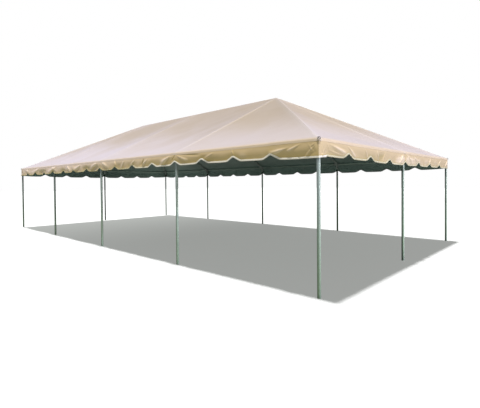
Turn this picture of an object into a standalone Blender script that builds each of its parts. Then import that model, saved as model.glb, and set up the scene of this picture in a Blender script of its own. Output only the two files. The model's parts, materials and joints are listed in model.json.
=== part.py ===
"""A frame marquee, 20 ft wide and 40 ft long, with a hipped cloth roof and a scalloped valance.

Run it in Blender 4.5: blender --background --python part.py

Steel tubes stand on the ground, carry a rail all round the eaves, and hold rafters, hips and a
ridge. Cast fittings with sockets join the tubes. The cloth lies on the fittings, in four slopes,
and hangs outside the rails as the valance.

Lengths are in metres. X runs along the tent, Y across it, Z up. The origin is on the ground,
in the middle of the tent. The front is the long side at -Y.
"""

import math

import bmesh
import bpy
from mathutils import Matrix, Vector

FOOT = 0.3048

# The plan, measured between the centres of the tubes
HALF_LENGTH = 20 * FOOT
HALF_WIDTH = 10 * FOOT
BAY = 10 * FOOT
RIDGE_HALF_LENGTH = HALF_LENGTH - HALF_WIDTH

# Heights of the tubes' centre lines
EAVE_HEIGHT = 2.066
ROOF_RISE = 5 * FOOT
ROOF_SLOPE = ROOF_RISE / HALF_WIDTH
RIDGE_HEIGHT = EAVE_HEIGHT + ROOF_RISE

# Tubes and the sockets that hold them
TUBE_RADIUS = 0.0254
TUBE_SIDES = 16
BORE_RADIUS = TUBE_RADIUS + 0.0004
SOCKET_RADIUS = 0.0290
RAIL_SOCKET_RADIUS = 0.0295
FOOT_CHAMFER = 0.003
END_PLAY = 0.0005
BLIND_START = 0.0295
LEG_SOCKET_END = 0.150
RAFTER_SOCKET_END = 0.165
TEE_HALF_LENGTH = 0.110
CORNER_SOCKET_END = 0.140
CORNER_BALL_RADIUS = 0.0288
HIP_BLIND_START = 0.064
HIP_SOCKET_END = 0.200
CROWN_BLIND_START = 0.078
CROWN_SOCKET_END = 0.205
CROWN_HUB_RADIUS = 0.055
CROWN_HUB_DEPTH = 0.065
WEB_THICKNESS = 0.006
WEB_REACH = 0.120
WEB_INSET = 0.026

# The cloth, made thicker than the real vinyl
CLOTH_THICKNESS = 0.004
CLOTH_OFFSET = RAIL_SOCKET_RADIUS + 0.0004
CLOTH_RISE = CLOTH_OFFSET * math.hypot(1, ROOF_SLOPE)
CLOTH_SAG = 0.045
CLOTH_GAP = 0.0004
CELLS_PER_BAY = 4
CELLS_UP_SLOPE = 5
TIGHT_BAND = 0.06
VALANCE_INSIDE = 0.0303
EAVE_OVERHANG = VALANCE_INSIDE + CLOTH_THICKNESS + 0.0002
VALANCE_BOTTOM = 1.832
SEAT_GAP = 0.0003

# The scallops along the valance's lower edge
SCALLOP_PITCH = 2.5 * FOOT
NOTCH_HALF_WIDTH = 0.150
NOTCH_DEPTH = 0.055
NOTCH_STEPS = 4


def clear_scene():
    """Empties the scene that Blender opens with."""
    for item in list(bpy.data.objects):
        bpy.data.objects.remove(item)


def finish(name, color, roughness, metallic):
    """A plain material."""
    material = bpy.data.materials.new(name)
    material.use_nodes = True
    shader = material.node_tree.nodes["Principled BSDF"]
    shader.inputs["Base Color"].default_value = (*color, 1)
    shader.inputs["Roughness"].default_value = roughness
    shader.inputs["Metallic"].default_value = metallic
    return material


def group(name):
    """An empty that carries the pieces of one part of the tent."""
    holder = bpy.data.objects.new(name, None)
    bpy.context.collection.objects.link(holder)
    return holder


def place(name, mesh, material, holder, matrix=None):
    """Makes one named piece."""
    mesh.materials.clear()
    mesh.materials.append(material)
    piece = bpy.data.objects.new(name, mesh)
    bpy.context.collection.objects.link(piece)
    piece.parent = holder
    piece.matrix_world = matrix or Matrix.Identity(4)
    return piece


def turn_to(direction):
    """Turns +Z to the direction. Tubes and sockets use it alike, so that their flats line up."""
    along = Vector(direction).normalized()
    across = along.cross(Vector((0, 0, 1)))
    if across.length < 0.001:
        across = Vector((1, 0, 0))
    across.normalize()
    return Matrix((across, along.cross(across), along)).transposed().to_4x4()


def rod_mesh(name, radius, length, chamfer=0):
    """A round bar that stands on the origin and runs up +Z, its lower edge chamfered if asked."""
    shape = bmesh.new()
    bmesh.ops.create_cone(
        shape, cap_ends=True, segments=TUBE_SIDES, radius1=radius, radius2=radius, depth=length
    )
    bmesh.ops.translate(shape, verts=shape.verts, vec=(0, 0, length / 2))
    if chamfer:
        rim = [edge for edge in shape.edges if all(v.co.z < chamfer for v in edge.verts)]
        bmesh.ops.bevel(shape, geom=rim, offset=chamfer, segments=1, affect="EDGES")
    mesh = bpy.data.meshes.new(name)
    shape.to_mesh(mesh)
    shape.free()
    return mesh


def rod_along(name, radius, direction, start, end):
    """A round bar about a line through the origin, between two distances along it."""
    mesh = rod_mesh(name, radius, end - start)
    mesh.transform(turn_to(direction) @ Matrix.Translation((0, 0, start)))
    return mesh


def ball_mesh(name, radius):
    """A ball about the origin."""
    shape = bmesh.new()
    bmesh.ops.create_uvsphere(shape, u_segments=TUBE_SIDES, v_segments=10, radius=radius)
    mesh = bpy.data.meshes.new(name)
    shape.to_mesh(mesh)
    shape.free()
    return mesh


def plate_mesh(name, corners, normal, thickness):
    """A flat plate with those corners, centred on their plane."""
    shape = bmesh.new()
    half = Vector(normal).normalized() * thickness / 2
    verts = [shape.verts.new(Vector(corner) - half) for corner in corners]
    face = shape.faces.new(verts)
    grown = bmesh.ops.extrude_face_region(shape, geom=[face])
    moved = [item for item in grown["geom"] if isinstance(item, bmesh.types.BMVert)]
    bmesh.ops.translate(shape, verts=moved, vec=half * 2)
    bmesh.ops.recalc_face_normals(shape, faces=shape.faces)
    mesh = bpy.data.meshes.new(name)
    shape.to_mesh(mesh)
    shape.free()
    return mesh


def combined(name, solids, cutters):
    """One mesh of the solids joined together, less the cutters."""
    base = bpy.data.objects.new(name, solids[0])
    bpy.context.collection.objects.link(base)
    helpers = []
    for operation, meshes in (("UNION", solids[1:]), ("DIFFERENCE", cutters)):
        for mesh in meshes:
            helper = bpy.data.objects.new(name + "_helper", mesh)
            bpy.context.collection.objects.link(helper)
            helper.hide_render = True
            modifier = base.modifiers.new(operation, "BOOLEAN")
            modifier.operation = operation
            modifier.object = helper
            helpers.append(helper)
    graph = bpy.context.evaluated_depsgraph_get()
    mesh = bpy.data.meshes.new_from_object(base.evaluated_get(graph))
    mesh.name = name
    for helper in [base, *helpers]:
        bpy.data.objects.remove(helper)
    smooth(mesh)
    return mesh


def smooth(mesh):
    """Shades round faces smooth and keeps the real edges sharp."""
    mesh.shade_smooth()
    mesh.set_sharp_from_angle(angle=math.radians(35))


def socket(direction, radius, end, blind=BLIND_START):
    """A socket's outer wall and its bore, along one direction from a fitting's centre."""
    wall = rod_along("wall", radius, direction, 0, end)
    bore = rod_along("bore", BORE_RADIUS, direction, blind, end + 0.02)
    return wall, bore


def web_between(first, second, reach):
    """A welded plate in the angle between two sockets."""
    first = Vector(first).normalized()
    second = Vector(second).normalized()
    normal = first.cross(second)
    toward_second = normal.cross(first).normalized()
    toward_first = second.cross(normal).normalized()
    corners = (
        Vector((0, 0, 0)),
        first * reach + toward_second * WEB_INSET,
        second * reach + toward_first * WEB_INSET,
    )
    return plate_mesh("web", corners, normal, WEB_THICKNESS)


def tee_mesh():
    """An eave fitting: the rail passes through it along X, with a leg below and a rafter to +Y."""
    down = (0, 0, -1)
    up_slope = (0, 1, ROOF_SLOPE)
    rail = (1, 0, 0)
    leg_wall, leg_bore = socket(down, SOCKET_RADIUS, LEG_SOCKET_END)
    rafter_wall, rafter_bore = socket(up_slope, SOCKET_RADIUS, RAFTER_SOCKET_END)
    rail_wall = rod_along("wall", RAIL_SOCKET_RADIUS, rail, -TEE_HALF_LENGTH, TEE_HALF_LENGTH)
    rail_bore = rod_along("bore", BORE_RADIUS, rail, -TEE_HALF_LENGTH - 0.02, TEE_HALF_LENGTH + 0.02)
    web = web_between(down, up_slope, WEB_REACH)
    return combined(
        "tee_fitting",
        [rail_wall, leg_wall, rafter_wall, web],
        [rail_bore, leg_bore, rafter_bore],
    )


def corner_mesh():
    """A corner fitting: rails to +X and +Y, a leg below, and the hip rafter between the rails.

    A ball closes the elbow under the corner of the cloth.
    """
    down = (0, 0, -1)
    hip = (1, 1, ROOF_SLOPE)
    walls = []
    bores = []
    for rail in ((1, 0, 0), (0, 1, 0)):
        wall, bore = socket(rail, RAIL_SOCKET_RADIUS, CORNER_SOCKET_END)
        walls.append(wall)
        bores.append(bore)
    leg_wall, leg_bore = socket(down, SOCKET_RADIUS, LEG_SOCKET_END)
    hip_wall, hip_bore = socket(hip, SOCKET_RADIUS, HIP_SOCKET_END, blind=HIP_BLIND_START)
    web = web_between(down, hip, WEB_REACH)
    ball = ball_mesh("ball", CORNER_BALL_RADIUS)
    return combined(
        "corner_fitting", [*walls, leg_wall, hip_wall, ball, web], [*bores, leg_bore, hip_bore]
    )


def end_crown_mesh():
    """The six-way fitting at a ridge end: the ridge to -X, and five rafters that fan out to +X."""
    fall = -ROOF_SLOPE
    ways = ((-1, 0, 0), (0, 1, fall), (0, -1, fall), (1, 0, fall), (1, 1, fall), (1, -1, fall))
    walls = []
    bores = []
    for way in ways:
        wall, bore = socket(way, SOCKET_RADIUS, CROWN_SOCKET_END, blind=CROWN_BLIND_START)
        walls.append(wall)
        bores.append(bore)
    hub = rod_along("hub", CROWN_HUB_RADIUS, (0, 0, -1), 0, CROWN_HUB_DEPTH)
    return combined("end_crown", [hub, *walls], bores)


def middle_crown_mesh():
    """The fitting at the middle of the ridge: the ridge passes through, with a rafter each side."""
    ridge = (1, 0, 0)
    walls = [rod_along("wall", RAIL_SOCKET_RADIUS, ridge, -TEE_HALF_LENGTH, TEE_HALF_LENGTH)]
    bores = [
        rod_along("bore", BORE_RADIUS, ridge, -TEE_HALF_LENGTH - 0.02, TEE_HALF_LENGTH + 0.02)
    ]
    ways = [(0, side, -ROOF_SLOPE) for side in (-1, 1)]
    for way in ways:
        wall, bore = socket(way, SOCKET_RADIUS, RAFTER_SOCKET_END)
        walls.append(wall)
        bores.append(bore)
    walls.append(web_between(*ways, WEB_REACH))
    return combined("middle_crown", walls, bores)


def tube(name, start, end, steel, holder, start_play=0.0, end_play=0.0, chamfer=0):
    """A tube from one point to another, cut short by the plays."""
    line = Vector(end) - Vector(start)
    along = line.normalized()
    length = line.length - start_play - end_play
    mesh = rod_mesh(name, TUBE_RADIUS, length, chamfer)
    smooth(mesh)
    foot = Vector(start) + along * start_play
    return place(name, mesh, steel, holder, Matrix.Translation(foot) @ turn_to(along))


def leg_places():
    """Name, x and y of each leg, counted from the left along each long side."""
    places = []
    for side, y in (("front", -HALF_WIDTH), ("back", HALF_WIDTH)):
        for number in range(5):
            places.append((f"{side}_{number + 1}", -HALF_LENGTH + number * BAY, y))
    places.append(("left_middle", -HALF_LENGTH, 0.0))
    places.append(("right_middle", HALF_LENGTH, 0.0))
    return places


def build_legs(steel, holder):
    """Twelve legs, each with a flat chamfered foot."""
    top_play = BLIND_START + END_PLAY
    for name, x, y in leg_places():
        tube(
            "leg_" + name,
            (x, y, 0),
            (x, y, EAVE_HEIGHT),
            steel,
            holder,
            end_play=top_play,
            chamfer=FOOT_CHAMFER,
        )


def build_rails(steel, holder):
    """The eave rail on each side, between the corner fittings."""
    play = BLIND_START + END_PLAY
    corner = Vector((HALF_LENGTH, HALF_WIDTH, EAVE_HEIGHT))
    for name, y in (("front", -corner.y), ("back", corner.y)):
        start = (-corner.x, y, corner.z)
        tube("eave_rail_" + name, start, (corner.x, y, corner.z), steel, holder, play, play)
    for name, x in (("left", -corner.x), ("right", corner.x)):
        start = (x, -corner.y, corner.z)
        tube("eave_rail_" + name, start, (x, corner.y, corner.z), steel, holder, play, play)


def build_rafters(steel, holder):
    """Hips, common rafters, end rafters and the ridge."""
    eave_play = BLIND_START + END_PLAY
    crown_play = CROWN_BLIND_START + END_PLAY
    hip_play = HIP_BLIND_START + END_PLAY
    for side, y in (("front", -HALF_WIDTH), ("back", HALF_WIDTH)):
        for number, x in ((2, -BAY), (3, 0.0), (4, BAY)):
            top_play = eave_play if number == 3 else crown_play
            tube(
                f"rafter_{side}_{number}",
                (x, y, EAVE_HEIGHT),
                (x, 0, RIDGE_HEIGHT),
                steel,
                holder,
                eave_play,
                top_play,
            )
    for end, sign in (("left", -1), ("right", 1)):
        crown = (sign * RIDGE_HALF_LENGTH, 0, RIDGE_HEIGHT)
        eave = (sign * HALF_LENGTH, 0, EAVE_HEIGHT)
        tube("rafter_" + end, eave, crown, steel, holder, eave_play, crown_play)
        for side, y in (("front", -HALF_WIDTH), ("back", HALF_WIDTH)):
            corner = (sign * HALF_LENGTH, y, EAVE_HEIGHT)
            tube(f"hip_rafter_{side}_{end}", corner, crown, steel, holder, hip_play, crown_play)
    start = (-RIDGE_HALF_LENGTH, 0, RIDGE_HEIGHT)
    end = (RIDGE_HALF_LENGTH, 0, RIDGE_HEIGHT)
    tube("ridge_tube", start, end, steel, holder, crown_play, crown_play)


def turned(x, y, z, degrees):
    """A place in the frame, turned about the vertical."""
    return Matrix.Translation((x, y, z)) @ Matrix.Rotation(math.radians(degrees), 4, "Z")


def build_fittings(casting, holder):
    """The tees and corners at the eaves, and the crowns along the ridge."""
    tee = tee_mesh()
    for number, x in ((2, -BAY), (3, 0.0), (4, BAY)):
        for side, y, degrees in (("front", -HALF_WIDTH, 0), ("back", HALF_WIDTH, 180)):
            place(
                f"tee_fitting_{side}_{number}",
                tee,
                casting,
                holder,
                turned(x, y, EAVE_HEIGHT, degrees),
            )
    for name, x, degrees in (("left", -HALF_LENGTH, -90), ("right", HALF_LENGTH, 90)):
        place("tee_fitting_" + name, tee, casting, holder, turned(x, 0, EAVE_HEIGHT, degrees))
    corner = corner_mesh()
    corners = (
        ("front_left", -1, -1, 0),
        ("front_right", 1, -1, 90),
        ("back_right", 1, 1, 180),
        ("back_left", -1, 1, 270),
    )
    for name, side_x, side_y, degrees in corners:
        matrix = turned(side_x * HALF_LENGTH, side_y * HALF_WIDTH, EAVE_HEIGHT, degrees)
        place("corner_fitting_" + name, corner, casting, holder, matrix)
    crown = end_crown_mesh()
    for name, x, degrees in (("left", -RIDGE_HALF_LENGTH, 180), ("right", RIDGE_HALF_LENGTH, 0)):
        place("crown_fitting_" + name, crown, casting, holder, turned(x, 0, RIDGE_HEIGHT, degrees))
    middle = middle_crown_mesh()
    place("crown_fitting_middle", middle, casting, holder, turned(0, 0, RIDGE_HEIGHT, 0))


def cloth_height(inset):
    """Height of the tight cloth's underside, at a plan distance in from the eave rail."""
    return EAVE_HEIGHT + CLOTH_RISE + inset * ROOF_SLOPE


def slope_mesh(name, bay_edges):
    """One slope of the roof. Its eave lies along X, and it climbs to +Y.

    bay_edges(up) gives the x of each rafter line at a share of the way up the slope. The cloth
    sags between the rafters, but lies tight in a band along the eave and another by the ridge.
    """
    run = HALF_WIDTH + EAVE_OVERHANG - CLOTH_GAP
    shape = bmesh.new()
    rows = []
    loose = [step / CELLS_UP_SLOPE for step in range(CELLS_UP_SLOPE + 1)]
    ups = [0.0, *[TIGHT_BAND + share * (1 - 2 * TIGHT_BAND) for share in loose], 1.0]
    for up in ups:
        y = -HALF_WIDTH - EAVE_OVERHANG + up * run
        slack = math.sin(math.pi * min(max((up - TIGHT_BAND) / (1 - 2 * TIGHT_BAND), 0), 1))
        edges = bay_edges(up)
        row = []
        for bay, (left, right) in enumerate(zip(edges, edges[1:])):
            for cell in range(0 if bay == 0 else 1, CELLS_PER_BAY + 1):
                part = cell / CELLS_PER_BAY
                width = (right - left) / BAY
                sag = CLOTH_SAG * width * 4 * part * (1 - part) * slack
                height = cloth_height(y + HALF_WIDTH) - sag
                x = left + part * (right - left)
                low = shape.verts.new((x, y, height))
                high = shape.verts.new((x, y, height + CLOTH_THICKNESS))
                row.append((low, high))
        rows.append(row)
    for lower, upper in zip(rows, rows[1:]):
        for a, b, c, d in zip(lower, lower[1:], upper[1:], upper):
            shape.faces.new((a[1], b[1], c[1], d[1]))
            shape.faces.new((d[0], c[0], b[0], a[0]))
    rim = [*rows[0], *[row[-1] for row in rows[1:]]]
    rim += [*reversed(rows[-1][:-1]), *[row[0] for row in reversed(rows[1:-1])]]
    for first, second in zip(rim, [*rim[1:], rim[0]]):
        shape.faces.new((first[0], second[0], second[1], first[1]))
    bmesh.ops.remove_doubles(shape, verts=shape.verts, dist=0.00005)
    bmesh.ops.triangulate(shape, faces=shape.faces)
    mesh = bpy.data.meshes.new(name)
    shape.to_mesh(mesh)
    shape.free()
    smooth(mesh)
    return mesh


def hip_reach(up):
    """How far the hip lies past the ridge end, at a share of the way up the slope."""
    return (1 - up) * (HALF_WIDTH + EAVE_OVERHANG) - CLOTH_GAP * up


def side_bay_edges(up):
    """Rafter lines across a long slope, from the left hip to the right one."""
    reach = max(hip_reach(up) - CLOTH_GAP, 0)
    outer = RIDGE_HALF_LENGTH + reach
    return (-outer, -RIDGE_HALF_LENGTH, 0.0, RIDGE_HALF_LENGTH, outer)


def end_bay_edges(up):
    """Rafter lines across a hip end, from one hip to the other."""
    reach = max(hip_reach(up), 0)
    return (-reach, 0.0, reach)


def build_roof(cloth, holder):
    """Two long slopes and two hip ends."""
    side = slope_mesh("roof_side", side_bay_edges)
    place("roof_slope_front", side, cloth, holder, turned(0, 0, 0, 0))
    place("roof_slope_back", side, cloth, holder, turned(0, 0, 0, 180))
    end = slope_mesh("roof_end", end_bay_edges)
    shift = RIDGE_HALF_LENGTH
    place("roof_hip_left", end, cloth, holder, turned(-shift, 0, 0, -90))
    place("roof_hip_right", end, cloth, holder, turned(shift, 0, 0, 90))


def notch_outline():
    """Points across one notch of the scalloped edge, as distance from its middle and height."""
    points = []
    for step in range(-NOTCH_STEPS, NOTCH_STEPS + 1):
        part = step / NOTCH_STEPS
        rise = NOTCH_DEPTH * (0.5 + 0.5 * math.cos(math.pi * part)) ** 1.1
        points.append((part * NOTCH_HALF_WIDTH, rise))
    return points


def valance_mesh(name, half_length, half_run):
    """A hanging strip along X, its outer face to -Y, with scallops between notches."""
    top = cloth_height(-EAVE_OVERHANG) - SEAT_GAP
    shape = bmesh.new()
    count = round(2 * half_length / SCALLOP_PITCH)
    previous_top = shape.verts.new((-half_run, 0, top))
    strip = [shape.verts.new((-half_run, 0, VALANCE_BOTTOM))]
    for number in range(1, count + 1):
        middle = -half_length + number * SCALLOP_PITCH
        points = notch_outline()
        if number == count:
            ends = [(half_run, VALANCE_BOTTOM)]
            next_start = []
        else:
            ends = [(middle + s, VALANCE_BOTTOM + z) for s, z in points if s <= 0]
            next_start = [(middle + s, VALANCE_BOTTOM + z) for s, z in points if s > 0]
        strip += [shape.verts.new((s, 0, z)) for s, z in ends]
        next_top = shape.verts.new((strip[-1].co.x, 0, top))
        shape.faces.new([*strip, next_top, previous_top])
        strip = [strip[-1]] + [shape.verts.new((s, 0, z)) for s, z in next_start]
        previous_top = next_top
    grown = bmesh.ops.extrude_face_region(shape, geom=shape.faces[:])
    moved = [item for item in grown["geom"] if isinstance(item, bmesh.types.BMVert)]
    bmesh.ops.translate(shape, verts=moved, vec=(0, CLOTH_THICKNESS, 0))
    bmesh.ops.recalc_face_normals(shape, faces=shape.faces)
    mesh = bpy.data.meshes.new(name)
    shape.to_mesh(mesh)
    shape.free()
    return mesh


def build_valances(cloth, holder):
    """The hanging strip outside each eave rail. The long ones run past the short ones' ends."""
    outside = VALANCE_INSIDE + CLOTH_THICKNESS
    side = valance_mesh("valance_side", HALF_LENGTH, HALF_LENGTH + outside)
    end = valance_mesh("valance_end", HALF_WIDTH, HALF_WIDTH + VALANCE_INSIDE - SEAT_GAP)
    out_y = HALF_WIDTH + outside
    out_x = HALF_LENGTH + outside
    place("valance_front", side, cloth, holder, turned(0, -out_y, 0, 0))
    place("valance_back", side, cloth, holder, turned(0, out_y, 0, 180))
    place("valance_left", end, cloth, holder, turned(-out_x, 0, 0, -90))
    place("valance_right", end, cloth, holder, turned(out_x, 0, 0, 90))


def main():
    """Builds the whole tent."""
    clear_scene()
    steel = finish("galvanised_tube", (0.60, 0.63, 0.63), 0.35, 0.9)
    casting = finish("galvanised_fitting", (0.50, 0.53, 0.53), 0.5, 0.8)
    roof_vinyl = finish("roof_vinyl", (0.72, 0.64, 0.54), 0.45, 0.0)
    valance_vinyl = finish("valance_vinyl", (0.66, 0.55, 0.38), 0.4, 0.0)
    frame = group("frame")
    canopy = group("canopy")
    build_legs(steel, frame)
    build_rails(steel, frame)
    build_rafters(steel, frame)
    build_fittings(casting, frame)
    build_roof(roof_vinyl, canopy)
    build_valances(valance_vinyl, canopy)


main()
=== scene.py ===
"""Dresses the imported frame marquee: its cloth, bindings, tubes, welds and bolts.

X runs along the tent, Y across it, Z up. The front is the long side at -Y, and the origin is on
the ground in the middle. Lengths are in metres.
"""

import json
import math
import random

import bmesh
import bpy
import numpy as np
from bpy.props import FloatProperty, FloatVectorProperty, PointerProperty
from mathutils import Matrix, Vector, noise

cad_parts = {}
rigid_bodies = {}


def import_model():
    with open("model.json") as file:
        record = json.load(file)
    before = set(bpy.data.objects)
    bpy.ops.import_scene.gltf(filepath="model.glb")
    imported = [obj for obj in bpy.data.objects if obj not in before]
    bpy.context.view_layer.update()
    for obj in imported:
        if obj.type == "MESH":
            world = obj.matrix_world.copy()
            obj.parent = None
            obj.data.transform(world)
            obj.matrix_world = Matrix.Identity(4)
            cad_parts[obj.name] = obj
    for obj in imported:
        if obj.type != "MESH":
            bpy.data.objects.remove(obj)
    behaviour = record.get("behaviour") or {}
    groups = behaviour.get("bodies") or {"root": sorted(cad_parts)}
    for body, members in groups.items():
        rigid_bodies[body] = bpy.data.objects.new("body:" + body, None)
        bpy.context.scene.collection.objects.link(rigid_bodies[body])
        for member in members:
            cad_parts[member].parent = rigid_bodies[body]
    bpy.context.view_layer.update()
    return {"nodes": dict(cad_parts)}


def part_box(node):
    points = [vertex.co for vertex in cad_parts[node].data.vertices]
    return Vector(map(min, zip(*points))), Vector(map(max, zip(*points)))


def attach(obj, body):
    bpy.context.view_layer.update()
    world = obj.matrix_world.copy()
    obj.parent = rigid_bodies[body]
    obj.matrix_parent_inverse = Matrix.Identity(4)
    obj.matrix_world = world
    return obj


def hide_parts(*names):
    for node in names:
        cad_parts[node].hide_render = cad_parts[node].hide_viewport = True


bl_info = {
    "name": "Frame marquee",
    "version": (1, 0, 0),
    "blender": (4, 5, 0),
    "location": "View3D > Sidebar > Marquee",
    "description": "Makes the cloth, trim and metal of a hipped frame marquee",
    "category": "Add Mesh",
}

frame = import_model()


def middle(node):
    """The middle of a solid's box."""
    low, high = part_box(node)
    return (low + high) / 2


# The frame's lines, between the tubes' centres
HALF_LENGTH = middle("leg_front_5").x
HALF_WIDTH = -middle("leg_front_5").y
EAVE = middle("eave_rail_front").z
RIDGE = middle("ridge_tube").z
SLOPE = (RIDGE - EAVE) / HALF_WIDTH
BAY = HALF_WIDTH
RIDGE_END = HALF_LENGTH - HALF_WIDTH
TILT = math.atan(SLOPE)

# The sockets of the fittings: outer radii and reach from the fitting's centre
SOCKET = 0.0290
COLLAR = 0.0295
LEG_REACH = 0.150
RAFTER_REACH = 0.165
COLLAR_REACH = 0.110
CORNER_REACH = 0.140
HIP_REACH = 0.200
CROWN_REACH = 0.205

# Where the cloth lies: a little above the sockets, and a little outside the rails
CLOTH_RISE = 0.0303 / math.cos(TILT)
VALANCE_OUT = 0.0306
HEM_OUT = 0.0342
HEM_DROP = 0.018
HEM_LEAN = 0.21
EAVE_ROUND = 0.030
EAVE_CENTRE = EAVE_ROUND - HEM_OUT
EAVE_LEVEL = EAVE + CLOTH_RISE + EAVE_CENTRE * SLOPE - EAVE_ROUND / math.cos(TILT)
VALANCE_TOP = EAVE_LEVEL - HEM_DROP + 0.010
VALANCE_FOOT = 1.840
SCALLOP = BAY / 4
NOTCH_DEPTH = 0.066
NOTCH_SLOPE = 0.50
NOTCH_TIP = 0.016
NOTCH_BEND = 0.012
CORNER_ROUND = 0.012
CORNER_START = VALANCE_OUT - CORNER_ROUND
CORNER_ARC = CORNER_ROUND * math.pi / 2
FLAP = 0.150
FLAP_OFF = 0.0014

# Where the legs stand along the long and the short sides
LONG_LEGS = tuple(-HALF_LENGTH + number * BAY for number in range(5))
SHORT_LEGS = (-HALF_WIDTH, 0.0, HALF_WIDTH)

# How far the welds may rise above the line of the rafters and stand out past the rails
WELD_RISE = 0.0299 / math.cos(TILT) - 0.0042
WELD_OUT = 0.0262

# Relief of the roof: pulls from the ridge's ends and from the legs, welts over the rafters, and
# the rise over the legs' fittings
RIDGE_PULL = 0.0070
LEG_PULL = 0.0035
WELT, WELT_WIDTH = 0.0055, 0.046
PUFF, PUFF_WIDTH = 0.006, 0.10

# Relief of the valance: how far it stands off the rail's line, its flare by the lower edge, how
# far in it may swing between the legs, how wide it is held at a leg, and how its scallops droop
STAND_OFF = 0.0068
FLARE, FLARE_WIDTH = 0.0085, 0.021
SWING_IN = 0.026
HELD_WIDTH = 0.11
DROOP = 0.003

# How finely the cloth is divided: cells up a slope, along a bay and up the valance, and the
# length of a cell along the valance and its tape
SLOPE_STEPS = 72
BAY_STEPS = 48
VALANCE_ROWS = 27
VALANCE_STEP = 0.0092
TAPE_STEP = 0.0110

# The cloth is never smoother than this, since its gloss would break up into marks
LEAST_ROUGHNESS = 0.28


class MarqueeSizes(bpy.types.PropertyGroup):
    """Sizes of the cloth and the trim."""

    cloth: FloatProperty(
        name="Cloth", description="Thickness of the coated cloth", default=0.0010, unit="LENGTH"
    )
    sag: FloatProperty(
        name="Sag", description="Sag of the roof in the middle of a bay", default=0.060,
        unit="LENGTH",
    )
    binding: FloatProperty(
        name="Binding", description="Width of the tape on the valance's edge", default=0.026,
        unit="LENGTH",
    )
    crease: FloatProperty(
        name="Crease", description="Height of the deepest creases", default=0.021, unit="LENGTH"
    )
    tube: FloatProperty(
        name="Tube", description="Outer radius of the tubes", default=0.0254, unit="LENGTH"
    )
    wall: FloatProperty(
        name="Wall", description="Wall of the tubes", default=0.0016, unit="LENGTH"
    )


class MarqueeColours(bpy.types.PropertyGroup):
    """Colours of the cloth and the metal."""

    roof: FloatVectorProperty(
        name="Roof", description="Cloth of the roof, outside", default=(0.48, 0.39, 0.27),
        subtype="COLOR",
    )
    # Painted sky sheen on the roof: a paler, lilac tone by the eave and further up to the left
    painted_sheen: FloatVectorProperty(
        name="Painted roof sheen", description="Cloth of the roof towards the eave",
        default=(0.60, 0.52, 0.47), subtype="COLOR",
    )
    valance: FloatVectorProperty(
        name="Valance", description="Cloth of the valance, outside", default=(0.67, 0.50, 0.255),
        subtype="COLOR",
    )
    # The lining's dark green-grey is partly the dark inside of block-out cloth and partly painted
    # shade under the roof
    lining: FloatVectorProperty(
        name="Lining", description="Inner face of all the cloth", default=(0.172, 0.238, 0.222),
        subtype="COLOR",
    )
    binding: FloatVectorProperty(
        name="Binding", description="Tape on the valance's edge", default=(0.96, 0.89, 0.76),
        subtype="COLOR",
    )
    # The tubes' green cast is partly a painted reflection of the lawn
    steel: FloatVectorProperty(
        name="Tubes", description="Galvanised tube", default=(0.310, 0.368, 0.340), subtype="COLOR"
    )
    casting: FloatVectorProperty(
        name="Fittings", description="Galvanised fittings", default=(0.42, 0.46, 0.45),
        subtype="COLOR",
    )


# Objects


def deselect():
    """Leaves nothing selected."""
    for item in bpy.context.view_layer.objects:
        item.select_set(False)


def activate(piece):
    """Makes one piece the only selected one."""
    deselect()
    piece.select_set(True)
    bpy.context.view_layer.objects.active = piece


def linked(name, data):
    """A new object in the scene."""
    piece = bpy.data.objects.new(name, data)
    bpy.context.collection.objects.link(piece)
    return piece


def settle(piece, name, material, matrix=None):
    """Names a piece, bakes its place into its mesh, and gives it its finish and its body."""
    piece.name = name
    piece.data.name = name
    piece.data.transform((matrix or Matrix.Identity(4)) @ piece.matrix_world)
    piece.matrix_world = Matrix.Identity(4)
    if material is not None:
        piece.data.materials.clear()
        piece.data.materials.append(material)
    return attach(piece, "root")


def copied(master, name, matrices):
    """One object that holds a copy of the master at each place."""
    shape = bmesh.new()
    for matrix in matrices:
        mesh = master.data.copy()
        mesh.transform(matrix)
        shape.from_mesh(mesh)
        bpy.data.meshes.remove(mesh)
    mesh = bpy.data.meshes.new(name)
    shape.to_mesh(mesh)
    shape.free()
    return linked(name, mesh)


def smoothed(piece, degrees):
    """Smooth shading that keeps edges sharper than the angle."""
    activate(piece)
    bpy.ops.object.shade_smooth_by_angle(angle=math.radians(degrees))


def grid(columns, rows):
    """A flat grid to be shaped, with each vertex's column and row."""
    deselect()
    bpy.ops.mesh.primitive_grid_add(x_subdivisions=columns, y_subdivisions=rows, size=2)
    sheet = bpy.context.object
    flat = np.zeros(len(sheet.data.vertices) * 3)
    sheet.data.vertices.foreach_get("co", flat)
    flat = flat.reshape(-1, 3)
    column = np.rint((flat[:, 0] + 1) / 2 * columns).astype(int)
    row = np.rint((flat[:, 1] + 1) / 2 * rows).astype(int)
    return sheet, column, row


def shape_grid(sheet, places, pattern):
    """Moves the grid's vertices to their places, and lays its pattern out in metres."""
    sheet.data.vertices.foreach_set("co", places.reshape(-1))
    corner = np.zeros(len(sheet.data.loops), dtype=int)
    sheet.data.loops.foreach_get("vertex_index", corner)
    sheet.data.uv_layers[0].data.foreach_set("uv", pattern[corner].reshape(-1))
    sheet.data.update()


def thicken(sheet, thickness, outer, inner):
    """Gives a sheet its thickness outwards, with a finish for each face."""
    sheet.data.materials.append(outer)
    sheet.data.materials.append(inner)
    activate(sheet)
    wall = sheet.modifiers.new("cloth", "SOLIDIFY")
    wall.thickness = thickness
    wall.offset = 1
    wall.use_even_offset = False
    wall.material_offset = 1
    bpy.ops.object.modifier_apply(modifier=wall.name)


def note(piece, name, values):
    """Keeps a number for each vertex, for the finishes to read."""
    piece.data.attributes.new(name, "FLOAT", "POINT").data.foreach_set("value", values)


def cylinder(vertices, radius, depth, height):
    """A cylinder about Z, with its middle at that height."""
    deselect()
    bpy.ops.mesh.primitive_cylinder_add(
        vertices=vertices, radius=radius, depth=depth, location=(0, 0, height)
    )
    return bpy.context.object


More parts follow.
